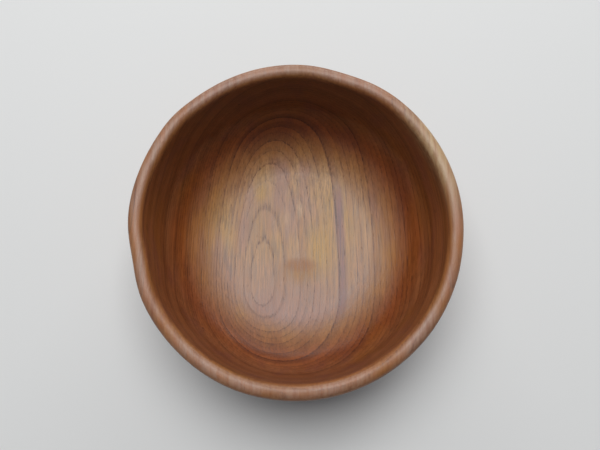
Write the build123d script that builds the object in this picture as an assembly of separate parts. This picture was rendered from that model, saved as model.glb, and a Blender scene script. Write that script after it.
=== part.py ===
from build123d import *
from math import radians, tan
import os

# Driving dimensions of the bowl, in millimetres and degrees.
rim_along_grain = 270.0   # over the outside of the lip, in the direction of the grain (Y)
rim_across_grain = 265.0  # the same across the grain (X), where the wood has shrunk as it dried
bowl_height = 106.0
lip_thickness = 12.6      # of the upright wall under the rounded lip
lip_radius = 5.9          # nearly a full round, worn a little flatter along its crown
shoulder_height = 76.0    # above this the wall stands upright, and below it leans in
inner_shoulder_radius = 260.0
outer_shoulder_radius = 380.0
inner_lean = 6.0          # how far the wall leans in between its shoulder and its foot
outer_lean = 6.0
floor_thickness = 10.0    # at the centre, above the recess in the foot
floor_bend = 34.0         # the floor is dished: it is level inside its arc and climbs outside it
floor_climb = 8.0
floor_radius = 440.0
corner_bend = 84.0        # from here it climbs faster, towards the wall
corner_climb = 30.0
corner_radius = 90.0
wall_foot_radius = 36.0
outer_corner_radius = 50.0
recess_radius = 68.0      # shallow turned recess inside the foot ring
recess_depth = 2.0
recess_slope = 2.0        # how far the recess's edge slopes inwards
recess_edge_radius = 1.5
foot_allowance = 0.4      # turned below the foot, and taken off when the dry bowl's foot is flattened


def rise(run, degrees):
    """How much higher a slope is at the end of a level run."""
    return run * tan(radians(degrees))


def half_section():
    """Half of the bowl's section, in XZ, from the floor's centre over the lip to the recess's centre."""
    outer_lip = rim_along_grain / 2
    inner_lip = outer_lip - lip_thickness
    floor_centre = recess_depth + floor_thickness
    wall_foot = inner_lip - inner_lean
    corner_height = floor_centre + rise(corner_bend - floor_bend, floor_climb)
    wall_foot_height = corner_height + rise(wall_foot - corner_bend, corner_climb)
    corners = [
        ((floor_bend, floor_centre), floor_radius),
        ((corner_bend, corner_height), corner_radius),
        ((wall_foot, wall_foot_height), wall_foot_radius),
        ((inner_lip, shoulder_height), inner_shoulder_radius),
        ((inner_lip, bowl_height), lip_radius),
        ((outer_lip, bowl_height), lip_radius),
        ((outer_lip, shoulder_height), outer_shoulder_radius),
        ((outer_lip - outer_lean, -foot_allowance), outer_corner_radius),
        ((recess_radius, -foot_allowance), recess_edge_radius),
        ((recess_radius - recess_slope, recess_depth), recess_edge_radius),
    ]
    points = [(0, floor_centre)] + [corner for corner, radius in corners] + [(0, recess_depth)]
    with BuildSketch(Plane.XZ) as section:
        with BuildLine():
            surface = FilletPolyline(*points, radius=[radius for corner, radius in corners])
            Line(surface @ 1, surface @ 0)
        make_face()
    return section.sketch


def finished_bowl():
    """The section turned about Z, drawn in across the grain as it dries, then flattened at its foot."""
    turned = revolve(half_section(), Axis.Z)
    dried = scale(turned, by=(rim_across_grain / rim_along_grain, 1, 1))
    return split(dried, Plane.XY, keep=Keep.TOP)


bowl = finished_bowl()
os.makedirs("parts", exist_ok=True)
export_step(bowl, "parts/bowl_body.step")
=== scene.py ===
# A one-piece wooden bowl, oiled and worn, standing on a plain pale floor.
import math

import bmesh
import bpy
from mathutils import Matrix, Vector, noise


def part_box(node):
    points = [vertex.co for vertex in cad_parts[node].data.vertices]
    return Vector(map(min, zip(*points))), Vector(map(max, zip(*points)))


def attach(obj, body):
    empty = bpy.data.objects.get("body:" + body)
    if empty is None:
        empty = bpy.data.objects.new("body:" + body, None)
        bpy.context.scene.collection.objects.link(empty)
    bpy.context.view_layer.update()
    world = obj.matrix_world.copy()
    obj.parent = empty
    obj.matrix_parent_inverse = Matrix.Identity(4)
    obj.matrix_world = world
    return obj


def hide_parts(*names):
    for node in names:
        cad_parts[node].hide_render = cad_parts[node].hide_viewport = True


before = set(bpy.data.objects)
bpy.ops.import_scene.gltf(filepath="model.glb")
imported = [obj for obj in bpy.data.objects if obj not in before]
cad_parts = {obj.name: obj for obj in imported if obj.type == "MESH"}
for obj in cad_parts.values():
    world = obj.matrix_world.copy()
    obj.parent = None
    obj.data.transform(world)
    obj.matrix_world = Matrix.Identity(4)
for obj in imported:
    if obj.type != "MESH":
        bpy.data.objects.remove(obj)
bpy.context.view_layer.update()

mm = 0.001
perMm = 1 / mm
bowlLow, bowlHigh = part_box("bowl_body")
rimAlong = bowlHigh.y - bowlLow.y      # with the grain
rimAcross = bowlHigh.x - bowlLow.x     # across it, a little less since the wood dried
bowlHeight = bowlHigh.z - bowlLow.z


# shader helpers
def place(tree, kind, label="", **settings):
    node = tree.nodes.new(kind)
    node.label = label
    for name, value in settings.items():
        setattr(node, name, value)
    return node


def feed(tree, socket, value):
    # a link where the value is another node's socket, otherwise a plain value
    if isinstance(value, bpy.types.NodeSocket):
        tree.links.new(value, socket)
    else:
        socket.default_value = value


def maths(tree, operation, a, b=0.0, c=0.0, clamp=False):
    node = place(tree, "ShaderNodeMath", operation=operation, use_clamp=clamp)
    for socket, value in zip(node.inputs, (a, b, c)):
        feed(tree, socket, value)
    return node.outputs[0]


def times(tree, *values):
    product = values[0]
    for value in values[1:]:
        product = maths(tree, "MULTIPLY", product, value)
    return product


def distance(tree, a, b):
    # how far a point is from the origin, from two of its coordinates
    return maths(tree, "SQRT", maths(tree, "ADD", times(tree, a, a), times(tree, b, b)))


def stretch(tree, point, factors):
    node = place(tree, "ShaderNodeVectorMath", operation="MULTIPLY")
    feed(tree, node.inputs[0], point)
    feed(tree, node.inputs[1], factors)
    return node.outputs[0]


def shift(tree, point, offset):
    node = place(tree, "ShaderNodeVectorMath", operation="ADD")
    feed(tree, node.inputs[0], point)
    feed(tree, node.inputs[1], offset)
    return node.outputs[0]


def cloud(tree, point, scale=1.0, detail=2.0, roughness=0.5):
    node = place(tree, "ShaderNodeTexNoise")
    feed(tree, node.inputs["Vector"], point)
    for name, value in (("Scale", scale), ("Detail", detail), ("Roughness", roughness)):
        feed(tree, node.inputs[name], value)
    return node.outputs["Fac"]


def stretchedCloud(tree, point, factors, offset=None, **settings):
    # noise drawn out along the grain, moved so that no two of them look alike
    drawn = stretch(tree, point, factors)
    if offset:
        drawn = shift(tree, drawn, offset)
    return cloud(tree, drawn, **settings)


def ease(tree, value, low, high, toLow=0.0, toHigh=1.0):
    node = place(tree, "ShaderNodeMapRange", interpolation_type="SMOOTHSTEP")
    for socket, number in zip(node.inputs, (value, low, high, toLow, toHigh)):
        feed(tree, socket, number)
    return node.outputs["Result"]


def blendColours(tree, amount, a, b, how="MIX"):
    node = place(tree, "ShaderNodeMix", data_type="RGBA", blend_type=how)
    feed(tree, node.inputs[0], amount)
    feed(tree, node.inputs[6], a)
    feed(tree, node.inputs[7], b)
    return node.outputs[2]


def bend(tree, value, points):
    # a smooth curve through a few points, both ways from 0 to 1
    node = place(tree, "ShaderNodeFloatCurve")
    curve = node.mapping.curves[0]
    for spot, (x, y) in zip(curve.points, (points[0], points[-1])):
        spot.location = (x, y)
    for x, y in points[1:-1]:
        curve.points.new(x, y)
    node.mapping.update()
    feed(tree, node.inputs["Value"], value)
    return node.outputs[0]


def newGroup(name, inputs, outputs):
    group = bpy.data.node_groups.new(name, "ShaderNodeTree")
    for label, kind, value in inputs:
        socket = group.interface.new_socket(label, in_out="INPUT", socket_type=kind)
        if value is not None:
            socket.default_value = value
    for label, kind in outputs:
        group.interface.new_socket(label, in_out="OUTPUT", socket_type=kind)
    return group, place(group, "NodeGroupInput").outputs, place(group, "NodeGroupOutput").inputs


def useGroup(tree, group, values):
    node = place(tree, "ShaderNodeGroup", node_tree=group, label=group.name)
    for name, value in values.items():
        feed(tree, node.inputs[name], value)
    return node.outputs


# the log the bowl was cut from
log = {
    "heartAcross": -49.5,   # the heart of the tree runs along Y, under the bowl; all in millimetres
    # how deep it lies under the foot, from one end of the bowl to the other
    "heartDepth": [(-135, 34), (-90, 20), (-60, 14.5), (-25, 16), (15, 19), (60, 21), (95, 20), (135, 14)],
    "halfLength": 135,
    "deepest": 50,          # the deepest that the heart may lie
    "lopsided": 0.45,       # the tree grew faster on the +X side
    "ringWidth": 2.95,
    "firstRing": 0.75,      # where the rings start to count, in rings
}


def growthRings(values):
    # rings round a heart that bends under the floor; lines are where one year stops and the next starts
    group, given, result = newGroup("growthRings", [
        ("Point", "NodeSocketVector", None),
        ("Uneven Width", "NodeSocketFloat", 0.3),
        ("Wander", "NodeSocketFloat", 1.0),
        ("Comb", "NodeSocketFloat", 1.0),
    ], [
        ("Line", "NodeSocketFloat"),
        ("Ring Tone", "NodeSocketFloat"),
        ("Age", "NodeSocketFloat"),
    ])
    split = place(group, "ShaderNodeSeparateXYZ")
    feed(group, split.inputs[0], given["Point"])
    across, along, up = split.outputs
    half = values["halfLength"]
    alongShare = maths(group, "MULTIPLY_ADD", along, 0.5 / half, 0.5)
    heartLine = [((y + half) / (2 * half), depth / values["deepest"]) for y, depth in values["heartDepth"]]
    depth = bend(group, alongShare, heartLine)
    dx = maths(group, "SUBTRACT", across, values["heartAcross"])
    dz = maths(group, "MULTIPLY_ADD", depth, values["deepest"], up)
    age = maths(group, "SUBTRACT", distance(group, dx, dz), times(group, dx, values["lopsided"]))
    # slow wander along the log, and the fibres, which break a line that crosses them into a comb
    slow = stretchedCloud(group, given["Point"], (0.03, 0.012, 0.03), detail=1.0)
    fibre = stretchedCloud(group, given["Point"], (0.75, 0.035, 0.75), detail=3.0)
    for noiseValue, amount in ((slow, "Wander"), (fibre, "Comb")):
        age = maths(group, "MULTIPLY_ADD", maths(group, "SUBTRACT", noiseValue, 0.5), given[amount], age)
    years = maths(group, "DIVIDE", age, values["ringWidth"])
    years = maths(group, "ADD", years, values["firstRing"])
    yearNoise = place(group, "ShaderNodeTexNoise", noise_dimensions="1D")
    feed(group, yearNoise.inputs["W"], times(group, years, 0.45))
    feed(group, yearNoise.inputs["Detail"], 0.0)
    uneven = maths(group, "SUBTRACT", yearNoise.outputs["Fac"], 0.5)
    years = maths(group, "MULTIPLY_ADD", uneven, given["Uneven Width"], years)
    inYear = maths(group, "FRACT", years)
    dice = place(group, "ShaderNodeTexWhiteNoise", noise_dimensions="1D")
    feed(group, dice.inputs["W"], maths(group, "FLOOR", years))
    rise = ease(group, inYear, 0.0, 0.09)
    thin = ease(group, inYear, 0.08, 0.25, 0.75, 0.0)
    soft = ease(group, inYear, 0.1, 0.8, 0.35, 0.0)
    strength = maths(group, "MULTIPLY_ADD", dice.outputs["Value"], 0.6, 0.4)
    edge = maths(group, "MULTIPLY", rise, maths(group, "ADD", thin, soft))
    feed(group, result["Line"], maths(group, "MULTIPLY", edge, strength))
    feed(group, result["Ring Tone"], dice.outputs["Value"])
    feed(group, result["Age"], age)
    return group


def woodFibres():
    # what runs along the grain: broad bands, streaks, fine fibres, and the open pores as short dashes
    group, given, result = newGroup("woodFibres", [
        ("Point", "NodeSocketVector", None),
        ("Pore Share", "NodeSocketFloat", 0.35),
    ], [
        ("Broad", "NodeSocketFloat"),
        ("Streaks", "NodeSocketFloat"),
        ("Fine", "NodeSocketFloat"),
        ("Pores", "NodeSocketFloat"),
    ])
    point = given["Point"]
    broad = stretchedCloud(group, point, (0.10, 0.008, 0.10), detail=3.0, roughness=0.55)
    streaks = stretchedCloud(group, point, (0.38, 0.022, 0.38), (3.1, 5.7, 8.2), detail=3.0, roughness=0.6)
    fine = stretchedCloud(group, point, (0.75, 0.045, 0.75), detail=2.0, roughness=0.65)
    pores = stretchedCloud(group, point, (1.35, 0.17, 1.35), (9.4, 2.6, 1.3), detail=1.0, roughness=0.4)
    start = maths(group, "SUBTRACT", 0.76, maths(group, "MULTIPLY", given["Pore Share"], 0.28))
    feed(group, result["Broad"], ease(group, broad, 0.3, 0.7))
    feed(group, result["Streaks"], ease(group, streaks, 0.3, 0.7))
    feed(group, result["Fine"], ease(group, fine, 0.36, 0.64))
    feed(group, result["Pores"], ease(group, pores, start, maths(group, "ADD", start, 0.09)))
    return group


def spot():
    # a soft-edged oval mark at one place on the wood
    group, given, result = newGroup("spot", [
        ("Point", "NodeSocketVector", None),
        ("Place", "NodeSocketVector", None),
        ("Size", "NodeSocketVector", None),
        ("Softness", "NodeSocketFloat", 0.5),
    ], [("Mask", "NodeSocketFloat")])
    away = place(group, "ShaderNodeVectorMath", operation="SUBTRACT")
    feed(group, away.inputs[0], given["Point"])
    feed(group, away.inputs[1], given["Place"])
    scaled = place(group, "ShaderNodeVectorMath", operation="DIVIDE")
    feed(group, scaled.inputs[0], away.outputs[0])
    feed(group, scaled.inputs[1], given["Size"])
    length = place(group, "ShaderNodeVectorMath", operation="LENGTH")
    feed(group, length.inputs[0], scaled.outputs[0])
    inner = maths(group, "SUBTRACT", 1.0, given["Softness"])
    feed(group, result["Mask"], ease(group, length.outputs["Value"], inner, 1.0, 1.0, 0.0))
    return group


def specks():
    # a few dark dots, where a small knot or a mineral grain was cut through
    group, given, result = newGroup("specks", [
        ("Point", "NodeSocketVector", None),
        ("Share", "NodeSocketFloat", 0.3),
    ], [("Mask", "NodeSocketFloat")])
    cells = place(group, "ShaderNodeTexVoronoi")
    feed(group, cells.inputs["Vector"], stretch(group, given["Point"], (0.06, 0.04, 0.06)))
    feed(group, cells.inputs["Scale"], 1.0)
    tint = place(group, "ShaderNodeSeparateColor")
    feed(group, tint.inputs[0], cells.outputs["Color"])
    chosen = maths(group, "LESS_THAN", tint.outputs[0], given["Share"])
    dot = ease(group, cells.outputs["Distance"], 0.03, 0.09, 1.0, 0.0)
    feed(group, result["Mask"], maths(group, "MULTIPLY", chosen, dot))
    return group


def turningMarks():
    # faint rings left by the gouge, round the bowl's own axis
    group, given, result = newGroup("turningMarks", [
        ("Point", "NodeSocketVector", None),
        ("Spacing", "NodeSocketFloat", 2.2),
    ], [("Height", "NodeSocketFloat")])
    split = place(group, "ShaderNodeSeparateXYZ")
    feed(group, split.inputs[0], given["Point"])
    x, y, z = split.outputs
    radius = distance(group, x, y)
    path = place(group, "ShaderNodeCombineXYZ")
    feed(group, path.inputs[0], maths(group, "DIVIDE", radius, given["Spacing"]))
    feed(group, path.inputs[1], maths(group, "DIVIDE", z, given["Spacing"]))
    feed(group, path.inputs[2], maths(group, "ARCTAN2", y, x))
    feed(group, result["Height"], cloud(group, path.outputs[0], scale=1.0, detail=2.0))
    return group


# oiled wood
wood = {
    "pale": (0.47, 0.268, 0.128, 1),       # between the ring lines
    "warm": (0.34, 0.148, 0.050, 1),
    "gold": (0.46, 0.255, 0.070, 1),
    # rosy patches at random, and also a painted sheen and shade on the front of the floor
    "rosyTintAndSheen": (0.35, 0.178, 0.136, 1),
    "lineBrown": (0.135, 0.050, 0.020, 1),
    "bandBrown": (0.240, 0.118, 0.110, 1), # the purplish band of slow years
    "bandFrom": 53.0,                      # and where it lies, in millimetres of growth
    "bandTo": 59.0,
    "poreBrown": (0.060, 0.022, 0.010, 1),
    "cornerOil": (0.88, 0.66, 0.33, 1),    # oil gathered where the floor turns up
    "oldOil": (0.78, 0.47, 0.33, 1),       # the walls, which aren't worn pale as the floor is
    "endGrain": (0.56, 0.54, 0.62, 1),     # how much the oil darkens wood cut across its fibres
    # dry pale wood of the lip, which also serves as a painted highlight on its crown
    "dryLipAndHighlight": (0.35, 0.210, 0.145, 1),
    "oiledLip": (0.31, 0.128, 0.036, 1),
    "sapwood": (0.50, 0.35, 0.19, 1),
    "sapwoodPlace": (116, 66, 108),        # at one side of the lip, in millimetres
    "sapwoodSize": (46, 78, 26),
    "roughness": 0.41,
    "lipRoughness": 0.48,
    "coat": 0.05,
    "coatRoughness": 0.3,
    "unevenWidth": 0.25,   # how much the years differ in width, in rings
    "wander": 0.6,         # how far the rings drift along the log, and how far the fibres comb them, in mm
    "comb": 1.1,
    "poresInLine": 0.6,    # how much likelier the pores are in a ring line
    "poreDark": 0.6,
    "speckShare": 0.25,    # how many of the places for a speck have one
    "speckDark": 0.8,
    "reliefDepth": 0.2 * mm,
}
# marks on the wood, and two painted highlights: place and size in millimetres, colour, how strong and how
# soft
marksAndHighlights = [
    ((21, -6, 12), (17, 42, 14), (0.47, 0.255, 0.045, 1), 0.75, 0.9),       # golden patches
    ((-34, 47, 12), (9, 16, 14), (0.47, 0.255, 0.045, 1), 0.75, 0.9),
    ((4, -28, 12), (26, 18, 14), (0.33, 0.138, 0.012, 1), 0.85, 0.9),       # an old damp mark
    ((3, -22, 12), (20, 9, 14), (0.29, 0.095, 0.005, 1), 0.8, 0.7),
    ((3, 31, 12), (4, 11, 14), (0.55, 0.36, 0.22, 1), 0.6, 0.8),            # painted highlights, pale spots on the floor, this one and the next
    ((-9, 22, 12), (5, 14, 14), (0.52, 0.33, 0.19, 1), 0.5, 0.9),
]


def oiledWood(values, groups):
    material = bpy.data.materials.new("oiledWood")
    material.use_nodes = True
    tree = material.node_tree
    surface = tree.nodes["Principled BSDF"]
    where = place(tree, "ShaderNodeTexCoord")
    centre = place(tree, "ShaderNodeMapping", "millimetres from the foot's centre")
    feed(tree, centre.inputs["Vector"], where.outputs["Object"])
    centre.inputs["Scale"].default_value = (perMm, perMm, perMm)
    point = centre.outputs[0]
    split = place(tree, "ShaderNodeSeparateXYZ")
    feed(tree, split.inputs[0], point)
    across, along, up = split.outputs
    facing = place(tree, "ShaderNodeSeparateXYZ")
    feed(tree, facing.inputs[0], where.outputs["Normal"])
    radius = distance(tree, across, along)

    rings = useGroup(tree, groups["growthRings"], {
        "Point": point,
        "Uneven Width": values["unevenWidth"],
        "Wander": values["wander"],
        "Comb": values["comb"],
    })
    poresInLine = times(tree, rings["Line"], values["poresInLine"])
    fibres = useGroup(tree, groups["woodFibres"], {"Point": point, "Pore Share": poresInLine})

    # the ground colour wavers between its tones from year to year, streak to streak and place to place
    patch = stretchedCloud(tree, point, (0.016, 0.006, 0.016))
    tone = maths(tree, "MULTIPLY_ADD", rings["Ring Tone"], 0.3, times(tree, fibres["Broad"], 0.5))
    tone = maths(tree, "ADD", tone, times(tree, maths(tree, "SUBTRACT", patch, 0.5), 1.4), clamp=True)
    colour = blendColours(tree, tone, values["pale"], values["warm"])
    golden = stretchedCloud(tree, point, (0.03, 0.011, 0.03), (7.3, 1.9, 4.1))
    colour = blendColours(tree, ease(tree, golden, 0.45, 0.7, 0.0, 0.7), colour, values["gold"])
    # rosy patches at random; the front of the floor is also painted rosier and a little darker, a painted
    # sheen and shade
    rosyTintAndSheen = stretchedCloud(tree, point, (0.05, 0.012, 0.05), (2.2, 8.1, 6.3))
    onFloor = ease(tree, radius, 70.0, 92.0, 1.0, 0.0)
    paintedSheenFront = times(tree, ease(tree, along, -90.0, 20.0, 0.9, 0.0), onFloor)
    rosyTintAndSheen = maths(tree, "MAXIMUM", ease(tree, rosyTintAndSheen, 0.48, 0.68, 0.0, 0.6), paintedSheenFront)
    colour = blendColours(tree, rosyTintAndSheen, colour, values["rosyTintAndSheen"])
    bandIn = ease(tree, rings["Age"], values["bandFrom"], values["bandFrom"] + 1.2)
    bandOut = ease(tree, rings["Age"], values["bandTo"] - 2.5, values["bandTo"], 1.0, 0.0)
    bandStreaks = maths(tree, "MULTIPLY_ADD", fibres["Streaks"], 0.5, 0.45)
    # it is plain on one side of the floor, and fades towards both ends
    bandSide = ease(tree, across, 5.0, 30.0, 0.15, 1.0)
    bandBack = ease(tree, along, 25.0, 65.0, 1.0, 0.3)
    bandFront = ease(tree, along, -85.0, -55.0, 0.2, 1.0)
    band = times(tree, bandIn, bandOut, bandStreaks, bandSide, bandBack, bandFront)
    colour = blendColours(tree, band, colour, values["bandBrown"])
    lineShare = times(tree, rings["Line"], maths(tree, "MULTIPLY_ADD", fibres["Fine"], -0.6, 0.95))
    colour = blendColours(tree, lineShare, colour, values["lineBrown"])
    # stains and patches, and two pale painted highlights on the floor
    for middle, size, markColour, share, softness in marksAndHighlights:
        oval = {"Point": point, "Place": middle, "Size": size, "Softness": softness}
        mark = useGroup(tree, groups["spot"], oval)
        colour = blendColours(tree, times(tree, mark["Mask"], share), colour, markColour)
    # the streaks and pores are plainest on the worn floor, less so where it turns up
    plain = ease(tree, radius, 62.0, 90.0, 1.0, 0.35)
    shade = maths(tree, "MULTIPLY_ADD", fibres["Streaks"], 0.18, 0.72)
    crowd = stretchedCloud(tree, point, (0.06, 0.02, 0.06), (1.4, 6.6, 2.9))
    fineShare = times(tree, plain, ease(tree, crowd, 0.35, 0.65, 0.2, 0.5))
    shade = maths(tree, "MULTIPLY_ADD", maths(tree, "SUBTRACT", fibres["Fine"], 0.5), fineShare, shade)
    shade = maths(tree, "ADD", shade, 0.16)
    colour = blendColours(tree, 1.0, colour, shade, "MULTIPLY")
    poreShare = times(tree, fibres["Pores"], plain, values["poreDark"])
    colour = blendColours(tree, poreShare, colour, values["poreBrown"])
    dots = useGroup(tree, groups["specks"], {"Point": point, "Share": values["speckShare"]})
    colour = blendColours(tree, times(tree, dots["Mask"], values["speckDark"]), colour, values["poreBrown"])

    # oil has gathered in the corner, and has darkened the walls, which aren't worn as the floor is
    gathered = times(tree, ease(tree, radius, 66.0, 92.0), ease(tree, up, 30.0, 50.0, 1.0, 0.0))
    darker = blendColours(tree, 1.0, colour, values["cornerOil"], "MULTIPLY")
    colour = blendColours(tree, gathered, colour, darker)
    oil = maths(tree, "MAXIMUM", ease(tree, radius, 84.0, 110.0), ease(tree, up, 22.0, 44.0))
    oiled = blendColours(tree, 1.0, colour, values["oldOil"], "MULTIPLY")
    yearTone = maths(tree, "MULTIPLY_ADD", rings["Ring Tone"], -0.35, 1.12)
    oiled = blendColours(tree, 1.0, oiled, yearTone, "MULTIPLY")
    colour = blendColours(tree, oil, colour, oiled)
    # oil soaks in deeper where the fibres come out at the surface
    cutAcross = maths(tree, "ABSOLUTE", facing.outputs[1])
    soaked = blendColours(tree, 1.0, colour, values["endGrain"], "MULTIPLY")
    colour = blendColours(tree, cutAcross, colour, soaked)
    # hands have dried the lip, in streaks, and its up-facing crown is also painted paler and pinker as a
    # painted highlight
    lip = ease(tree, up, bowlHeight * perMm - 6, bowlHeight * perMm - 1)
    patches = stretchedCloud(tree, point, (0.035, 0.02, 0.035), (5.5, 3.3, 7.7), detail=3.0)
    # painted highlight: the lip is paler and pinker where it faces up
    crownWearAndHighlight = ease(tree, facing.outputs[2], 0.6, 0.97)
    worn = times(tree, ease(tree, patches, 0.25, 0.55), crownWearAndHighlight)
    lipWearAndHighlight = blendColours(tree, worn, values["oiledLip"], values["dryLipAndHighlight"])
    streaky = maths(tree, "MULTIPLY_ADD", fibres["Streaks"], 0.5, 0.35)
    dry = times(tree, lip, streaky)
    colour = blendColours(tree, dry, colour, lipWearAndHighlight)
    sapwood = useGroup(tree, groups["spot"], {
        "Point": point,
        "Place": values["sapwoodPlace"],
        "Size": values["sapwoodSize"],
        "Softness": 0.9,
    })
    paler = times(tree, sapwood["Mask"], streaky)
    colour = blendColours(tree, paler, colour, values["sapwood"])

    tree.links.new(colour, surface.inputs["Base Color"])
    gloss = maths(tree, "MULTIPLY_ADD", fibres["Fine"], 0.08, values["roughness"] - 0.04)
    gloss = maths(tree, "ADD", gloss, times(tree, lip, values["lipRoughness"] - values["roughness"]))
    tree.links.new(gloss, surface.inputs["Roughness"])
    surface.inputs["IOR"].default_value = 1.5
    surface.inputs["Coat Weight"].default_value = values["coat"]
    surface.inputs["Coat Roughness"].default_value = values["coatRoughness"]

    marksOfGouge = useGroup(tree, groups["turningMarks"], {"Point": point})
    relief = maths(tree, "MULTIPLY_ADD", marksOfGouge["Height"], 0.5, times(tree, fibres["Fine"], 0.35))
    relief = maths(tree, "SUBTRACT", relief, times(tree, fibres["Pores"], 0.5))
    # the dry lip is rough to the touch
    grit = stretchedCloud(tree, point, (0.9, 0.45, 0.9))
    relief = maths(tree, "MULTIPLY_ADD", grit, times(tree, lip, 1.6), relief)
    bump = place(tree, "ShaderNodeBump")
    bump.inputs["Strength"].default_value = 0.5
    bump.inputs["Distance"].default_value = values["reliefDepth"]
    tree.links.new(relief, bump.inputs["Height"])
    tree.links.new(bump.outputs[0], surface.inputs["Normal"])
    return material


# the bowl
turning = {
    "lipThickness": 12.6 * mm,
    "lipRound": 5.9 * mm,
    "shoulderHeight": 76 * mm,     # the wall stands upright above this
    "insideShoulder": 260 * mm,    # the soft bend there
    "outsideShoulder": 380 * mm,
    "insideLean": 6 * mm,
    "outsideLean": 6 * mm,
    "insideCorner": 36 * mm,
    "outsideCorner": 50 * mm,
    "floorThickness": 10 * mm,
    # the floor is dished and turns up into the wall in two steps, each an arc: how far out its corner is, how
    # many degrees the surface climbs after it, and the arc's radius
    "floorBend": (34 * mm, 8, 440 * mm),
    "cornerBend": (84 * mm, 30, 90 * mm),
    "recessRadius": 68 * mm,
    "recessDepth": 2 * mm,
    "recessSlope": 2 * mm,
    "recessRound": 1.5 * mm,
    "stepsRound": 320,             # round the bowl
    "longestStep": 3.2 * mm,       # up the walls and over the floor
}
handwork = {
    # where the rim was cut or has worn flatter: its direction from X and half its width in degrees, and its
    # depth; a negative depth stands proud
    "flats": [
        (193, 12, 2.5 * mm),
        (72, 12, 1.6 * mm),
        (139, 9, -1.1 * mm),
        (352, 9, 0.4 * mm),
        (220, 22, 0.9 * mm),
    ],
    "waver": 0.3 * mm,             # how uneven the hand-finished surface is
    "flatEnds": 0.62,              # how softly a flat runs out, in half widths
    "flatFrom": 0.12,              # the share of the height where the flats begin, and how much higher
    "flatRise": 0.6,               # they are whole
    "footHeight": 0.5 * mm,        # the foot stays flat up to here, and the skin is whole this much higher
    "footBlend": 3 * mm,
    "wideWaver": 28,               # how closely the unevenness follows itself, per metre, and a closer one
    "closeWaver": 95,
    "closeShare": 0.35,
}


def roundCorner(bm, corner, radius, steps):
    # cuts a corner of the wire back to an arc of that radius
    a, b = [edge.other_vert(corner).co - corner.co for edge in corner.link_edges]
    turn = math.pi - a.angle(b)
    bmesh.ops.bevel(bm, geom=[corner], offset=radius * math.tan(turn / 2), offset_type="OFFSET",
                    segments=steps, profile=0.5, affect="VERTICES", clamp_overlap=False, material=-1)


def sectionWire(bm, shape):
    outerLip = rimAlong / 2
    innerLip = outerLip - shape["lipThickness"]
    floorTop = shape["recessDepth"] + shape["floorThickness"]
    floorEnd = innerLip - shape["insideLean"]
    firstBend, firstClimb, firstRound = shape["floorBend"]
    nextBend, nextClimb, nextRound = shape["cornerBend"]
    bendUp = floorTop + (nextBend - firstBend) * math.tan(math.radians(firstClimb))
    wallFoot = bendUp + (floorEnd - nextBend) * math.tan(math.radians(nextClimb))
    corners = [
        (firstBend, floorTop, firstRound, 24),
        (nextBend, bendUp, nextRound, 12),
        (floorEnd, wallFoot, shape["insideCorner"], 20),
        (innerLip, shape["shoulderHeight"], shape["insideShoulder"], 8),
        (innerLip, bowlHeight, shape["lipRound"], 12),
        (outerLip, bowlHeight, shape["lipRound"], 12),
        (outerLip, shape["shoulderHeight"], shape["outsideShoulder"], 8),
        (outerLip - shape["outsideLean"], 0, shape["outsideCorner"], 26),
        (shape["recessRadius"], 0, shape["recessRound"], 4),
        (shape["recessRadius"] - shape["recessSlope"], shape["recessDepth"], shape["recessRound"], 4),
    ]
    wire = [bm.verts.new((0, 0, floorTop))]
    wire += [bm.verts.new((along, 0, up)) for along, up, radius, steps in corners]
    wire += [bm.verts.new((0, 0, shape["recessDepth"]))]
    for start, end in zip(wire, wire[1:]):
        bm.edges.new((start, end))
    for vert, (along, up, radius, steps) in zip(wire[1:-1], corners):
        roundCorner(bm, vert, radius, steps)
    for edge in list(bm.edges):
        cuts = int(edge.calc_length() / shape["longestStep"])
        if cuts:
            bmesh.ops.subdivide_edges(bm, edges=[edge], cuts=cuts)


def turnBowl(shape):
    bm = bmesh.new()
    sectionWire(bm, shape)
    bmesh.ops.spin(bm, geom=bm.verts[:] + bm.edges[:], cent=(0, 0, 0), axis=(0, 0, 1),
                   angle=math.tau, steps=shape["stepsRound"], use_merge=True)
    bmesh.ops.remove_doubles(bm, verts=bm.verts[:], dist=0.01 * mm)
    bmesh.ops.recalc_face_normals(bm, faces=bm.faces[:])
    bmesh.ops.scale(bm, vec=(rimAcross / rimAlong, 1, 1), verts=bm.verts[:])
    return bm


def workByHand(bm, work):
    # moves points towards the bowl's axis at the flats, most at the rim, and pulls the skin in unevenly
    bm.normal_update()
    moves = {}
    for vert in bm.verts:
        spread = Vector((vert.co.x, vert.co.y, 0))
        heading = math.degrees(math.atan2(spread.y, spread.x))
        height = vert.co.z / bowlHeight
        wallShare = min(1, max(0, (height - work["flatFrom"]) / work["flatRise"]))
        inward = 0
        for direction, halfWidth, depth in work["flats"]:
            off = (heading - direction + 180) % 360 - 180
            inward += depth * math.exp(-0.5 * (off / (halfWidth * work["flatEnds"])) ** 2)
        inward *= wallShare * wallShare * (3 - 2 * wallShare) * (1 if spread.length > rimAlong / 4 else 0)
        lift = min(1, max(0, (vert.co.z - work["footHeight"]) / work["footBlend"]))
        waver = work["waver"] * lift * (0.5 + 0.5 * noise.noise(vert.co * work["wideWaver"]))
        closeWaver = work["waver"] * work["closeShare"] * lift
        waver += closeWaver * (0.5 + 0.5 * noise.noise(vert.co * work["closeWaver"]))
        moves[vert] = -spread.normalized() * inward - vert.normal * waver
    for vert, move in moves.items():
        vert.co += move


def finishPiece(bm, name, material):
    for face in bm.faces:
        face.smooth = True
    mesh = bpy.data.meshes.new(name)
    bm.to_mesh(mesh)
    bm.free()
    mesh.materials.append(material)
    piece = bpy.data.objects.new(name, mesh)
    bpy.context.scene.collection.objects.link(piece)
    return piece


groups = {
    "growthRings": growthRings(log),
    "woodFibres": woodFibres(),
    "spot": spot(),
    "specks": specks(),
    "turningMarks": turningMarks(),
}
bowlMesh = turnBowl(turning)
workByHand(bowlMesh, handwork)
bowl = finishPiece(bowlMesh, "bowl", oiledWood(wood, groups))
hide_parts("bowl_body")
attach(bowl, "root")
print("bowl:", len(bowl.data.polygons), "faces")


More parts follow.
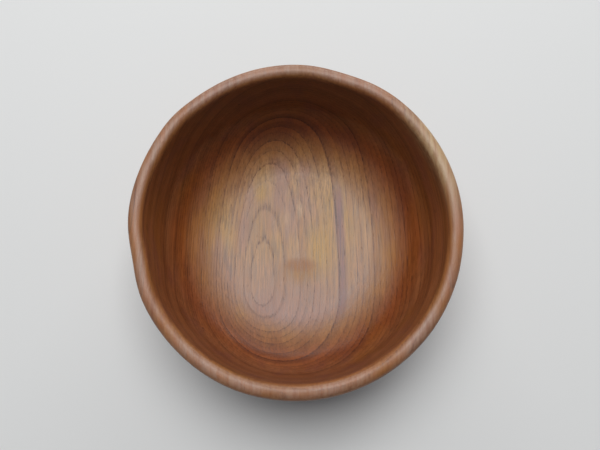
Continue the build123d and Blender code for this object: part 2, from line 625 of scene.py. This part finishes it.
# floor, light and camera
studio = {
    "floorSize": 6.0,
    "floorColour": (0.74, 0.73, 0.71, 1),
    "floorRoughness": 0.9,
    "skyColour": (0.88, 0.93, 1.0, 1),
    "skyStrength": 0.16,
    "lampColour": (0.96, 0.98, 1.0),
    "overheadPower": 42,                # the main light, almost straight above
    "overheadPlace": (-0.10, 0.70, 2.15),
    "overheadSize": (1.9, 1.2),
    "windowPower": 27,                  # a weaker one, low, beyond the bowl
    "windowPlace": (0.2, 2.3, 0.9),
    "windowSize": (3.0, 0.8),
}
view = {
    "lens": 31.9,
    "sensor": 36,
    "offset": (7.5 * mm, -90 * mm),     # from the bowl's axis, across and along the grain
    "aboveRim": 403 * mm,
    "tilt": (12.1, 0.5, 0),
}


def layFloor(values):
    bm = bmesh.new()
    bmesh.ops.create_grid(bm, x_segments=1, y_segments=1, size=values["floorSize"] / 2)
    material = bpy.data.materials.new("paleFloor")
    material.use_nodes = True
    surface = material.node_tree.nodes["Principled BSDF"]
    surface.inputs["Base Color"].default_value = values["floorColour"]
    surface.inputs["Roughness"].default_value = values["floorRoughness"]
    surface.inputs["Specular IOR Level"].default_value = 0.2
    floor = finishPiece(bm, "floor", material)


def softLight(name, where, size, power, colour):
    light = bpy.data.lights.new(name, "AREA")
    light.shape = "RECTANGLE"
    light.size, light.size_y = size
    light.energy = power
    light.color = colour
    lamp = bpy.data.objects.new(name, light)
    lamp.location = where
    towardsBowl = Vector((0, 0, bowlHeight / 2)) - Vector(where)
    lamp.rotation_euler = towardsBowl.to_track_quat("-Z", "Y").to_euler()
    bpy.context.scene.collection.objects.link(lamp)


def setSky(values):
    sky = bpy.data.worlds.new("studioSky")
    sky.use_nodes = True
    sky.node_tree.nodes["Background"].inputs["Color"].default_value = values["skyColour"]
    sky.node_tree.nodes["Background"].inputs["Strength"].default_value = values["skyStrength"]
    bpy.context.scene.world = sky


def setCamera(values):
    camera = bpy.data.cameras.new("camera")
    camera.lens = values["lens"]
    camera.sensor_width = values["sensor"]
    holder = bpy.data.objects.new("camera", camera)
    holder.location = (values["offset"][0], values["offset"][1], bowlHeight + values["aboveRim"])
    holder.rotation_euler = [math.radians(turn) for turn in values["tilt"]]
    bpy.context.scene.collection.objects.link(holder)
    bpy.context.scene.camera = holder


layFloor(studio)
for name in ("overhead", "window"):
    where, size, power = [studio[name + part] for part in ("Place", "Size", "Power")]
    softLight(name, where, size, power, studio["lampColour"])
setSky(studio)
setCamera(view)
bpy.context.scene.view_settings.view_transform = "Standard"
print("floor, lights and camera are in place")
